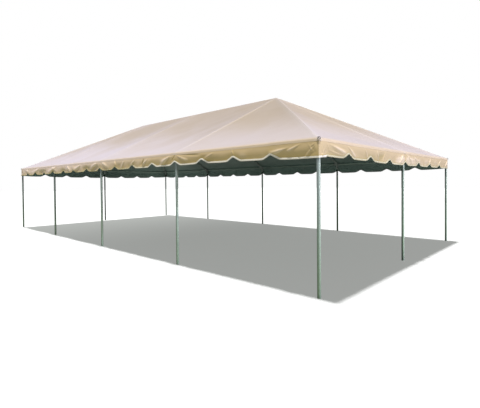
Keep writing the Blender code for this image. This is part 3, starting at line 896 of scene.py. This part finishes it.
class Side:
    """One side of the valance: where it hangs, and the legs behind it."""

    def __init__(self, name, half_length, legs, out, degrees, seed, pulls=()):
        self.name = name
        self.half_length = half_length
        self.legs = legs
        self.seed = seed
        self.matrix = turned(0, 0, 0, degrees) @ Matrix.Translation((0, -out, 0))
        self.pulls = list(pulls) or self.chance_pulls(random.Random(seed))
        self.straight_end = half_length + CORNER_START
        self.start = -self.straight_end + 0.05
        self.end = self.straight_end + CORNER_ARC + FLAP
        self.bound_start = -self.straight_end + FLAP - 0.010
        self.next = None

    def chance_pulls(self, chance):
        """Pulls that fan down and away from the eave at each leg, and a few between the legs."""
        pulls = []
        for leg in self.legs:
            at_corner = abs(abs(leg) - self.half_length) < 0.01
            for way in (-1, 1):
                if at_corner and way * leg > 0:
                    continue
                for number, reach in enumerate((0.07, 0.16, 0.29, 0.46)):
                    start = leg + way * chance.uniform(0.0, 0.05)
                    far = leg + way * reach * chance.uniform(0.85, 1.2)
                    low = chance.uniform(0.17, 0.24) - 0.02 * number
                    height = chance.uniform(0.5, 1.0) * chance.choice((1, 1, -0.8))
                    width = 0.012 + 0.006 * number
                    pulls.append((start, chance.uniform(0.0, 0.03), far, low, height, width))
        for number in range(round(self.half_length * 2.2)):
            start = chance.uniform(-self.half_length + 0.5, self.half_length - 0.5)
            far = start + chance.uniform(-0.35, 0.35)
            low = chance.uniform(0.12, 0.22)
            height = chance.uniform(0.4, 0.9)
            pulls.append((start, chance.uniform(0.02, 0.05), far, low, height, 0.030))
        return pulls

    def edge(self, u):
        """Height of the lower edge: nearly flat scallops between notches, then the flap."""
        off = np.abs(((u / SCALLOP + 0.5) % 1.0 - 0.5) * SCALLOP)
        rise = NOTCH_DEPTH - NOTCH_SLOPE * (np.hypot(off, NOTCH_TIP) - NOTCH_TIP)
        rise = 0.5 * (rise + np.hypot(rise, NOTCH_BEND)) - 0.05 * NOTCH_BEND
        rise = np.where(np.abs(u) > self.half_length - 0.5 * SCALLOP, 0.0, rise)
        droop = DROOP * np.sin(math.pi * ((u / SCALLOP) % 1.0))
        places, levels = zip(*HANG[self.name])
        drift = eased(u, places, levels) + 0.002 * np.sin(5.3 * u + 2 * self.seed)
        tucked = 0.012 * np.exp(-np.clip(u + self.straight_end - 0.1, 0, None) / 0.45)
        foot = VALANCE_FOOT + rise - droop + drift + tucked
        past = u - self.straight_end
        flap = VALANCE_FOOT - 0.005 + 0.014 * part_way(past, 0, FLAP)
        return foot + (flap - foot) * soft(part_way(past, -0.30, 0.25))

    def near_leg(self, u):
        """Close to one by each leg, and nothing between them."""
        return np.max([hill(u - leg, HELD_WIDTH) for leg in self.legs], axis=0)

    def pulled(self, u, drop, crease):
        """How far the waves and the pulls lift the cloth."""
        wave = np.zeros_like(u)
        for scale, height in ((0.9, 0.018), (2.7, 0.014), (6.5, 0.0060)):
            spots = zip((u * scale).tolist(), (drop * scale * 0.8).tolist())
            swings = [noise.noise(Vector((x, self.seed * 7.3, y))) for x, y in spots]
            wave += height * np.array(swings)
        wave *= part_way(drop, 0.045, 0.08) * (1 - 0.65 * self.near_leg(u))
        wave *= np.interp(u, *zip(*LOOSE[self.name]))
        fold = np.zeros_like(u)
        for start, top, far, low, height, width in self.pulls:
            line = np.array([far - start, low - top])
            length = float(np.hypot(*line))
            along = ((u - start) * line[0] + (drop - top) * line[1]) / length**2
            off = ((u - start) * line[1] - (drop - top) * line[0]) / length
            close = (along > -0.3) & (along < 1.4) & (np.abs(off) < 5 * width)
            spread = width * (0.55 + 0.9 * np.clip(along, 0, 1.2))
            body = np.sin(math.pi * part_way(along, -0.15, 1.3)) ** 0.8
            ridge = (1 - 0.6 * (off / spread) ** 2) * hill(off, spread)
            rise = np.sign(height) * np.minimum(crease * abs(height), 0.58 * spread)
            fold += np.where(close, rise * ridge * body, 0)
        return wave + fold * part_way(drop, 0.014, 0.030)

    def relief(self, u, drop, crease):
        """How far the cloth stands out from the rail's line at a distance down from the eave."""
        near = self.near_leg(u)
        belly = STAND_OFF * np.sin(math.pi / 2 * part_way(drop, -0.020, 0.040))
        for along, down in zip(HANGING[self.name], (SWELL, TUCK)):
            belly += np.interp(u, *zip(*along)) * eased(drop, *zip(*down), 0.014)
        belly += FLARE * hill(EAVE_LEVEL - drop - self.edge(u), FLARE_WIDTH)
        total = belly + self.pulled(u, drop, crease)
        least = np.where((near > 0.35) | (drop < 0.060), 0.0, -SWING_IN * (1 - near))
        return np.maximum(total, least) * soft(part_way(self.straight_end - np.abs(u), 0, 0.05))

    def surface(self, u, z, crease, lift=0.0):
        """Points on the cloth, u along the side. Past the side's end it turns the corner."""
        drop = EAVE_LEVEL - z
        past = u - self.straight_end
        beyond = past > CORNER_ARC
        lapped = self.next.relief(past - CORNER_ARC - self.next.straight_end, drop, crease)
        lapped += FLAP_OFF * (1 + part_way(past, 0, FLAP))
        out = np.where(beyond, lapped, self.relief(u, drop, crease)) + lift
        angle = np.clip(past / CORNER_ROUND, 0, math.pi / 2)
        turning = (past > 0) & ~beyond
        out = out + np.where(turning, FLAP_OFF * angle / (math.pi / 2), 0)
        round_x = self.straight_end + (CORNER_ROUND + out) * np.sin(angle)
        round_y = -CORNER_START - (CORNER_ROUND + out) * np.cos(angle)
        x = np.where(past > 0, round_x, u)
        y = np.where(past > 0, round_y, -VALANCE_OUT - out)
        y = np.where(beyond, -CORNER_START + past - CORNER_ARC, y)
        return np.stack([x, y, z], axis=1)


def eased(u, places, levels, reach=0.35):
    """Levels along a line, with soft bends between the given places."""
    spread = np.linspace(-reach, reach, 9)
    return np.mean([np.interp(u + shift, places, levels) for shift in spread], axis=0)


def sides():
    """The four sides of the valance, each with the side that its flap laps on to."""
    ring = (
        Side("front", HALF_LENGTH, LONG_LEGS, HALF_WIDTH, 0, 3, FRONT_PULLS),
        Side("right", HALF_WIDTH, SHORT_LEGS, HALF_LENGTH, 90, 5, RIGHT_PULLS),
        Side("back", HALF_LENGTH, LONG_LEGS, HALF_WIDTH, 180, 11),
        Side("left", HALF_WIDTH, SHORT_LEGS, HALF_LENGTH, 270, 17),
    )
    for number, side in enumerate(ring):
        side.next = ring[(number + 1) % 4]
    return ring


# Operators


class MARQUEE_OT_roof(bpy.types.Operator):
    """One sheet of coated cloth over the whole roof, sagging between the rafters."""

    bl_idname = "marquee.roof"
    bl_label = "Roof"

    def execute(self, context):
        sizes = context.scene.marquee_sizes
        rows = 2 * (len(roof_section()) - 1)
        columns = rows + 2 * BAY_STEPS
        sheet, column, row = grid(columns, rows)
        places, pattern, seams = roof_places(column, row, columns, rows, sizes.sag)
        shape_grid(sheet, places, pattern)
        note(sheet, "off_seam", seams)
        split_hips(sheet, column, row, columns, rows)
        made = finishes()
        thicken(sheet, sizes.cloth, made["roof_outside"], made["lining"])
        smoothed(sheet, 40)
        settle(sheet, "roof_cloth", None)
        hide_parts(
            "roof_slope_front", "roof_slope_back", "roof_hip_left", "roof_hip_right"
        )
        return {"FINISHED"}


class MARQUEE_OT_valances(bpy.types.Operator):
    """The hanging strip on each side, with its scallops, pulls, bound edge and corner flap."""

    bl_idname = "marquee.valances"
    bl_label = "Valances"

    def execute(self, context):
        for side in sides():
            cloth = self.hang(side, context.scene.marquee_sizes)
            binding = self.bind(side, context.scene.marquee_sizes)
            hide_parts("valance_" + side.name)
        return {"FINISHED"}

    def hang(self, side, sizes):
        """The cloth of one side."""
        run = side.end - side.start
        columns = round(run / VALANCE_STEP)
        sheet, column, row = grid(columns, VALANCE_ROWS)
        u = side.start + run * column / columns
        low = side.edge(u)
        z = low + (VALANCE_TOP - low) * (row / VALANCE_ROWS)
        shape_grid(sheet, side.surface(u, z, sizes.crease), np.stack([u, z], axis=1))
        note(sheet, "above_edge", z - low)
        note(sheet, "pull", side.pulled(u, EAVE_LEVEL - z, sizes.crease) / sizes.crease)
        # Sides out of the side light get the valance's painted shade, and the right side its
        # painted lit tone
        in_shade = (u < side.straight_end) & (side.name != "right")
        note(sheet, "shaded", in_shade.astype(float))
        made = finishes()
        thicken(sheet, sizes.cloth, made["valance_outside"], made["valance_lining"])
        smoothed(sheet, 50)
        return settle(sheet, "valance_cloth_" + side.name, None, side.matrix)

    def bind(self, side, sizes):
        """Tape folded over the lower edge of one side."""
        run = side.end - side.bound_start
        count = round(run / TAPE_STEP)
        u = side.bound_start + run * np.arange(count + 1) / count
        z = side.edge(u)
        run_u, run_z = np.gradient(u), np.gradient(z)
        length = np.hypot(run_u, run_z)
        wide = sizes.binding
        # How high above the edge and how far out each corner of the folded tape is. The last
        # three are on its inner face.
        section = (
            (wide, -0.0009), (wide, 0.0018), (wide * 0.5, 0.0021), (0.002, 0.0020),
            (-0.0012, 0.0010), (-0.0012, 0.0), (0.002, -0.0011), (wide * 0.5, -0.0012),
        )
        ring = len(section)
        sheet, column, row = grid(count, ring)
        places = np.zeros((len(column), 3))
        pattern = np.zeros((len(column), 2))
        for number in range(ring + 1):
            high, lift = section[number % ring]
            spot_u = np.clip(u - run_z / length * high, side.bound_start, side.end)
            spot_z = z + run_u / length * high
            line = side.surface(spot_u, spot_z, sizes.crease, lift)
            chosen = row == number
            places[chosen] = line[column[chosen]]
            pattern[chosen, 0] = u[column[chosen]]
            pattern[chosen, 1] = max(high, 0)
        shape_grid(sheet, places, pattern)
        shape = bmesh.new()
        shape.from_mesh(sheet.data)
        for face in shape.faces:
            first = min(row[corner.index] for corner in face.verts)
            face.material_index = int(first >= ring - 3)
        bmesh.ops.remove_doubles(shape, verts=shape.verts, dist=0.00005)
        bmesh.ops.edgeloop_fill(shape, edges=[edge for edge in shape.edges if edge.is_boundary])
        bmesh.ops.recalc_face_normals(shape, faces=shape.faces)
        shape.to_mesh(sheet.data)
        shape.free()
        made = finishes()
        # The right side's tape is the darker copy, painted shade on the lit side
        outer = "edge_tape_lit_side" if side.name == "right" else "edge_tape"
        sheet.data.materials.append(made[outer])
        sheet.data.materials.append(made["edge_tape_inside"])
        smoothed(sheet, 50)
        return settle(sheet, "edge_binding_" + side.name, None, side.matrix)


# The legs whose finish, with its painted light and shade, isn't their row's, and the way that a
# leg's painted lit side faces
LEG_TONES = {
    "leg_right_middle": "tube_zinc_half_shade", "leg_back_5": "tube_zinc_half_shade",
    "leg_front_1": "tube_zinc_far_shade", "leg_front_2": "tube_zinc_far_shade",
}
LIT_WAY = (0.94, 0.34)


class MARQUEE_OT_tubes(bpy.types.Operator):
    """Round hollow tubes in place of the faceted ones."""

    bl_idname = "marquee.tubes"
    bl_label = "Tubes"

    def execute(self, context):
        sizes = context.scene.marquee_sizes
        made = finishes()
        for name, node in frame["nodes"].items():
            is_leg = name.startswith("leg_")
            if not (is_leg or "rafter" in name or "eave_rail" in name or name == "ridge_tube"):
                continue
            start, end = self.line(node)
            piece = self.model((end - start).length, sizes, is_leg)
            matrix = Matrix.Translation(start) @ turn_to(end - start)
            finish = "rail_zinc" if "eave_rail" in name else "rafter_zinc"
            # Legs take lit and shaded copies of the zinc, painted light and shade, and the back
            # row the darkest
            if is_leg:
                finish = LEG_TONES.get(name, "tube_zinc" if "front" in name else "tube_zinc_deep_shade")
            settle(piece, "tube_" + name, made[finish], matrix)
            if is_leg:
                self.face(piece, middle(name))
            if is_leg and finish != "tube_zinc_deep_shade":
                bpy.data.collections["lit_legs"].objects.link(piece)
            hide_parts(name)
        return {"FINISHED"}

    def face(self, tube, centre):
        """Notes how far each part of a leg's wall faces the side that gets the painted light."""
        off = np.array([vertex.co.xy - centre.xy for vertex in tube.data.vertices])
        note(tube, "facing", off @ LIT_WAY / np.maximum(np.hypot(*off.T), 0.001))

    def line(self, node):
        """The two ends of a tube's centre line, the lower one first."""
        points = np.array([v.co for v in node.data.vertices], float)
        centre = points.mean(0)
        direction = np.linalg.svd(points - centre, full_matrices=False)[2][0]
        reach = (points - centre) @ direction
        ends = []
        for far in (reach.min(), reach.max()):
            near_end = points[np.abs(reach - far) < 0.002]
            ends.append(Vector(near_end.mean(0)))
        return sorted(ends, key=lambda end: (round(end.z, 3), end.x, end.y))

    def model(self, length, sizes, is_leg):
        """A tube that stands on the origin, its edges broken and its ends hollow."""
        tube = cylinder(40, sizes.tube, length, length / 2)
        hollow = 0.012 if is_leg else 0.03
        bpy.ops.object.transform_apply(location=True)
        bpy.ops.object.mode_set(mode="EDIT")
        for level, way in ((0.0, 1), (length, -1)):
            bpy.ops.mesh.select_all(action="DESELECT")
            shape = bmesh.from_edit_mesh(tube.data)
            for face in shape.faces:
                if len(face.verts) > 4 and abs(face.calc_center_median().z - level) < 1e-4:
                    face.select = True
            bmesh.update_edit_mesh(tube.data)
            bpy.ops.mesh.inset(thickness=sizes.wall)
            bpy.ops.mesh.extrude_region_move(
                TRANSFORM_OT_translate={"value": (0, 0, way * hollow)}
            )
        bpy.ops.object.mode_set(mode="OBJECT")
        bevelled(tube, 0.0006, limit_method="ANGLE", angle_limit=math.radians(50))
        smoothed(tube, 35)
        return tube


def fittings():
    """Each fitting's ways and place. A way is its direction, radius and reach."""
    up = SLOPE
    collars = (((1, 0, 0), COLLAR, COLLAR_REACH), ((-1, 0, 0), COLLAR, COLLAR_REACH))
    leg = ((0, 0, -1), SOCKET, LEG_REACH)
    tee = (*collars, leg, ((0, 1, up), SOCKET, RAFTER_REACH))
    corner = (
        ((1, 0, 0), COLLAR, CORNER_REACH), ((0, 1, 0), COLLAR, CORNER_REACH), leg,
        ((1, 1, up), SOCKET, HIP_REACH),
    )
    crown = tuple(
        (way, SOCKET, CROWN_REACH)
        for way in ((-1, 0, 0), (0, 1, -up), (0, -1, -up), (1, 0, -up), (1, 1, -up), (1, -1, -up))
    )
    rafters = (((0, 1, -up), SOCKET, RAFTER_REACH), ((0, -1, -up), SOCKET, RAFTER_REACH))
    places = []
    for x in (-BAY, 0.0, BAY):
        places += [(tee, x, -HALF_WIDTH, EAVE, 0), (tee, x, HALF_WIDTH, EAVE, 180)]
    places += [(tee, -HALF_LENGTH, 0, EAVE, -90), (tee, HALF_LENGTH, 0, EAVE, 90)]
    for x, y, degrees in ((-1, -1, 0), (1, -1, 90), (1, 1, 180), (-1, 1, 270)):
        places.append((corner, x * HALF_LENGTH, y * HALF_WIDTH, EAVE, degrees))
    places += [(crown, -RIDGE_END, 0, RIDGE, 180), (crown, RIDGE_END, 0, RIDGE, 0)]
    places.append(((*collars, *rafters), 0, 0, RIDGE, 0))
    return [(ways, turned(*place)) for ways, *place in places]


def across(direction):
    """Two directions square to a way: a level one, and one that leans up."""
    along = Vector(direction).normalized()
    level = along.cross(Vector((0, 0, 1)))
    if level.length < 0.01:
        level = Vector((1, 0, 0))
    level.normalize()
    return level, level.cross(along).normalized()


# The welds' beads: their radius, the points round a socket, and the steps that look along it
BEAD = 0.0026
BEAD_POINTS = 56
BEAD_STEPS = 400

# A bolt's parts, each with its corners, radius and length, and how far out its middle is from the
# socket's wall
SHANK, SHANK_OUT = (14, 0.0040, 0.010), 0.0068
WASHER, WASHER_OUT = (20, 0.0100, 0.0024), 0.0002
HEAD, HEAD_OUT = (6, 0.0078, 0.0058), 0.0040

# How far in from its socket's mouth a bolt is
BOLT_IN = 0.028


class MARQUEE_OT_fittings(bpy.types.Operator):
    """Finishes the fittings, with a weld where each socket meets its neighbours, and bolts."""

    bl_idname = "marquee.fittings"
    bl_label = "Fittings"

    def execute(self, context):
        made = finishes()
        for name, node in frame["nodes"].items():
            if "fitting" in name:
                node.data.materials.clear()
                node.data.materials.append(made["fitting_zinc"])
        for number, (ways, matrix) in enumerate(fittings()):
            beads = self.weld(ways, matrix)
            settle(beads, f"weld_beads_{number + 1:02d}", made["weld_zinc"])
        bolt = self.model_bolt()
        bolts = copied(bolt, "socket_bolts", self.bolt_places())
        bpy.data.objects.remove(bolt)
        smoothed(bolts, 30)
        settle(bolts, "socket_bolts", made["bolt_zinc"])
        return {"FINISHED"}

    def weld(self, ways, matrix):
        """Beads along the lines where one socket's wall runs into another's."""
        lines = []
        for direction, radius, reach in ways:
            others = [way for way in ways if way[0] != direction]
            runs_on = any(Vector(way[0]) == -Vector(direction) for way in others)
            if radius != COLLAR or not runs_on:
                lines.append(self.meeting_line(direction, radius, reach, others, matrix))
        curve = bpy.data.curves.new("weld", "CURVE")
        curve.dimensions = "3D"
        curve.bevel_depth = BEAD
        curve.bevel_resolution = 1
        for line in lines:
            spline = curve.splines.new("POLY")
            spline.points.add(len(line) - 1)
            spline.use_cyclic_u = True
            for point, place in zip(spline.points, line):
                point.co = (*place, 1)
                point.radius = 0.85 + 0.25 * noise.noise(place * 150)
        activate(linked("weld", curve))
        bpy.ops.object.convert(target="MESH")
        bpy.ops.object.shade_smooth()
        return bpy.context.object

    def meeting_line(self, direction, radius, reach, others, matrix):
        """The line round one socket where it comes out of the others, kept under the cloth."""
        along = Vector(direction).normalized()
        level, up = across(direction)
        steps = np.linspace(0, reach, BEAD_STEPS)
        line = []
        for number in range(BEAD_POINTS):
            angle = 2 * math.pi * number / BEAD_POINTS
            rim = (level * math.cos(angle) + up * math.sin(angle)) * radius
            points = np.array(rim) + steps[:, None] * np.array(along)
            inside = np.zeros(len(steps), bool)
            for other, other_radius, other_reach in others:
                axis = np.array(Vector(other).normalized())
                reached = points @ axis
                off = np.linalg.norm(points - reached[:, None] * axis, axis=1)
                inside |= (reached > 0) & (reached < other_reach) & (off < other_radius)
            start = steps[inside].max() if inside.any() else 0.0
            place = matrix @ (rim + along * start)
            inset = min(HALF_WIDTH - abs(place.y), HALF_LENGTH - abs(place.x))
            place.z = min(place.z, EAVE + WELD_RISE + inset * SLOPE)
            for part, half in enumerate((HALF_LENGTH, HALF_WIDTH)):
                place[part] = max(min(place[part], half + WELD_OUT), -half - WELD_OUT)
            line.append(place)
        return line

    def model_bolt(self):
        """A bolt through a socket: at each end a hexagon with a broken edge, and a washer."""
        parts = [cylinder(*SHANK, -SOCKET - SHANK_OUT)]
        for way in (1, -1):
            parts.append(cylinder(*WASHER, way * (SOCKET + WASHER_OUT)))
            parts.append(cylinder(*HEAD, way * (SOCKET + HEAD_OUT)))
            bevelled(parts[-1], 0.0008)
        for part in parts:
            part.select_set(True)
        bpy.ops.object.join()
        bpy.ops.object.transform_apply(location=True, rotation=True, scale=True)
        return bpy.context.object

    def bolt_places(self):
        """A bolt near the mouth of each socket, level and square to it. At the corners, the legs'
        bolts run across the corner."""
        places = []
        for ways, matrix in fittings():
            for direction, radius, reach in ways:
                if radius == COLLAR:
                    continue
                level = across(direction)[0]
                if direction == (0, 0, -1) and ways[1][0] == (0, 1, 0):
                    level = Vector((1, -1, 0)).normalized()
                spot = Vector(direction).normalized() * (reach - BOLT_IN)
                places.append(matrix @ Matrix.Translation(spot) @ turn_to(level))
        return places


# The corner's ring: its radii, which way it faces, and its place from the corner. Then the tab
# that holds it: its width and length, and where it starts along the hip
RING_RADIUS = 0.0200
RING_WIRE = 0.0042
RING_LEAN = (0.56, -0.56, 0.61)
RING_PLACE = (0.0290, -0.0290, EAVE + 0.0240)
TAB_WIDTH = 0.022
TAB_LENGTH = 0.108
TAB_TOP = -0.090
TAB_OUT = 0.014


class MARQUEE_OT_corner_trim(bpy.types.Operator):
    """A ring on a webbing tab at each corner of the roof."""

    bl_idname = "marquee.corner_trim"
    bl_label = "Corner trim"

    def execute(self, context):
        made = finishes()
        corners = (
            ("front_left", -1, -1, -90), ("front_right", 1, -1, 0),
            ("back_right", 1, 1, 90), ("back_left", -1, 1, 180),
        )
        steel, webbing = made["ring_steel"], made["strap_webbing"]
        for name, side_x, side_y, degrees in corners:
            matrix = turned(side_x * HALF_LENGTH, side_y * HALF_WIDTH, 0, degrees)
            settle(self.ring(), "corner_ring_" + name, steel, matrix)
            settle(self.tab(webbing), "ring_tab_" + name, webbing, matrix)
        return {"FINISHED"}

    def ring(self):
        """A welded ring that leans on the roof's corner."""
        deselect()
        bpy.ops.mesh.primitive_torus_add(
            major_segments=36, minor_segments=12, major_radius=RING_RADIUS, minor_radius=RING_WIRE
        )
        ring = bpy.context.object
        ring.data.transform(Matrix.Translation(RING_PLACE) @ turn_to(RING_LEAN))
        bpy.ops.object.shade_smooth()
        return ring

    def tab(self, webbing):
        """A short loop of webbing that holds the ring on the hip."""
        columns, rows = 6, 14
        sheet, column, row = grid(columns, rows)
        across_tab = (column / columns - 0.5) * TAB_WIDTH
        along_tab = TAB_TOP + TAB_LENGTH * row / rows
        outward = along_tab / math.sqrt(2)
        x = TAB_OUT + outward + across_tab / math.sqrt(2)
        y = -(TAB_OUT + outward) + across_tab / math.sqrt(2)
        section = roof_section()[1:12]
        roof = np.interp(-np.maximum(x, -y), section[:, 0], section[:, 1])
        rise = 0.0016 + 0.0070 * hill(along_tab - 0.004, 0.012)
        shape_grid(
            sheet, np.stack([x, y, roof + rise], axis=1), np.stack([across_tab, along_tab], axis=1)
        )
        thicken(sheet, 0.0014, webbing, webbing)
        smoothed(sheet, 40)
        return sheet


# The camera: its place, its turn in degrees, and its focal length and the shift of its centre as
# shares of the picture's width
PICTURE_WIDTH = 480
EYE = (8.587, -7.135, 1.517)
YAW, PITCH, ROLL = (math.radians(angle) for angle in (132.72, -0.929, -0.488))
FOCAL, SHIFT_X, SHIFT_Y = (pixels / PICTURE_WIDTH for pixels in (360.9, -6.1, -15.2))
SENSOR = 36


class MARQUEE_OT_stage(bpy.types.Operator):
    """A pale floor, soft light and the camera at the standing viewer's place."""

    bl_idname = "marquee.stage"
    bl_label = "Stage"

    def execute(self, context):
        scene = context.scene
        scene.view_settings.view_transform = "Standard"
        floor = self.floor()
        self.sky(scene)
        self.lamp("overhead", (0.25, -0.22, 1.0), 3.6, 3, floor, "EXCLUDE")
        side = self.lamp("side_light", (1, 0.12, 0.26), 2.05, 4, floor, "EXCLUDE")
        side.data.color = (0.95, 0.96, 1.28)
        side.visible_glossy = False
        self.lamp("floor_light", (-0.12, 0.0, 1.0), 15.5, 3.5, floor, "INCLUDE")
        legs = self.lamp("leg_light", (0.87, 0.5, 0.15), 1.3, 4)
        legs.light_linking.receiver_collection = bpy.data.collections.new("lit_legs")
        self.camera(scene)
        return {"FINISHED"}

    def floor(self):
        """A pale floor. To the camera it is paler and glows, more towards -X, painted light that
        lifts the tent's shadow; other rays see it darker.
        """
        deselect()
        bpy.ops.mesh.primitive_plane_add(size=160)
        floor = bpy.context.object
        floor.name = "floor"
        finish = Finish("floor_pale", 0.9, specular=0.0)
        seen = finish.add("ShaderNodeLightPath", out="Is Camera Ray")
        tone = finish.noise(finish.place, 2.0)
        pale = finish.mix(tone, (0.155, 0.155, 0.155), (0.165, 0.165, 0.165))
        finish.put(finish.mix(seen, (0.114, 0.120, 0.106), pale), finish.shader["Base Color"])
        finish.put((0.97, 1.0, 0.96), finish.shader["Emission Color"])
        # Painted light: the floor glows for the camera, more towards -X
        glow = finish.ramp(finish.axis(finish.place, "X"), -7.0, 1.0, 0.48, 0.33)
        finish.put(finish.times(seen, glow), finish.shader["Emission Strength"])
        floor.data.materials.append(finish.material)
        return floor

    def sky(self, scene):
        """A white backdrop, with a softer sky that lights the tent and shows in its gloss."""
        world = bpy.data.worlds.new("studio")
        world.use_nodes = True
        nodes = Nodes(world.node_tree)
        path = nodes.add("ShaderNodeLightPath", out=None)
        place = nodes.add("ShaderNodeTexCoord", out="Generated")
        up = nodes.axis(place, "Z")
        glow = nodes.times(nodes.ramp(up, -0.04, 0.12), nodes.ramp(up, 0.30, 0.75, 1.0, 0.0))
        glow = nodes.times(glow, nodes.ramp(nodes.axis(place, "X"), -0.94, -0.34, 1.0, 0.22))
        gloss = nodes.mix(glow, (0.20, 0.20, 0.27), (0.74, 0.73, 1.02))
        soft_sky = nodes.mix(path["Is Glossy Ray"], (0.21, 0.21, 0.22), gloss)
        tone = nodes.mix(path["Is Camera Ray"], soft_sky, (1.0, 1.0, 1.0))
        nodes.put(tone, world.node_tree.nodes["Background"].inputs["Color"])
        scene.world = world

    def lamp(self, name, source, strength, width, target=None, state=""):
        """Light from one direction, softer with its width in degrees. The target is left out of
        it, or is all that it lights."""
        light = bpy.data.lights.new(name, "SUN")
        light.energy = strength
        light.angle = math.radians(width)
        lamp = linked(name, light)
        lamp.rotation_euler = (-Vector(source)).to_track_quat("-Z", "Y").to_euler()
        if target is not None:
            receivers = bpy.data.collections.new(name)
            receivers.objects.link(target)
            receivers.collection_objects[0].light_linking.link_state = state
            lamp.light_linking.receiver_collection = receivers
        return lamp

    def camera(self, scene):
        """A viewer outside the front right corner, who looks along the tent."""
        data = bpy.data.cameras.new("viewer")
        data.sensor_width = SENSOR
        data.lens = FOCAL * SENSOR
        data.shift_x = SHIFT_X
        data.shift_y = SHIFT_Y
        data.clip_end = 300
        camera = linked("viewer", data)
        level = Vector((math.cos(YAW), math.sin(YAW), 0))
        ahead = level * math.cos(PITCH) + Vector((0, 0, math.sin(PITCH)))
        right = level.cross(Vector((0, 0, 1)))
        up = right.cross(ahead)
        right, up = (
            right * math.cos(ROLL) + up * math.sin(ROLL),
            up * math.cos(ROLL) - right * math.sin(ROLL),
        )
        turn = Matrix((right, up, -ahead)).transposed().to_4x4()
        camera.matrix_world = Matrix.Translation(EYE) @ turn
        scene.camera = camera


class MARQUEE_PT_panel(bpy.types.Panel):
    """Lists the marquee's parts in the sidebar."""

    bl_idname = "MARQUEE_PT_panel"
    bl_label = "Marquee"
    bl_space_type = "VIEW_3D"
    bl_region_type = "UI"
    bl_category = "Marquee"

    def draw(self, context):
        column = self.layout.column()
        for group in (context.scene.marquee_sizes, context.scene.marquee_colours):
            for name in group.__annotations__:
                column.prop(group, name)
        for operator in OPERATORS:
            column.operator(operator.bl_idname)


OPERATORS = (
    MARQUEE_OT_stage,
    MARQUEE_OT_roof,
    MARQUEE_OT_valances,
    MARQUEE_OT_tubes,
    MARQUEE_OT_fittings,
    MARQUEE_OT_corner_trim,
)
CLASSES = (MarqueeSizes, MarqueeColours, *OPERATORS, MARQUEE_PT_panel)


def register():
    """Adds the classes and the scene's settings."""
    for kind in CLASSES:
        bpy.utils.register_class(kind)
    bpy.types.Scene.marquee_sizes = PointerProperty(type=MarqueeSizes)
    bpy.types.Scene.marquee_colours = PointerProperty(type=MarqueeColours)


def unregister():
    """Takes them away again."""
    del bpy.types.Scene.marquee_colours
    del bpy.types.Scene.marquee_sizes
    for kind in reversed(CLASSES):
        bpy.utils.unregister_class(kind)


def main():
    """Makes everything in order."""
    register()
    bpy.ops.marquee.stage()
    bpy.ops.marquee.roof()
    bpy.ops.marquee.valances()
    bpy.ops.marquee.tubes()
    bpy.ops.marquee.fittings()
    bpy.ops.marquee.corner_trim()


if __name__ == "__main__":
    main()
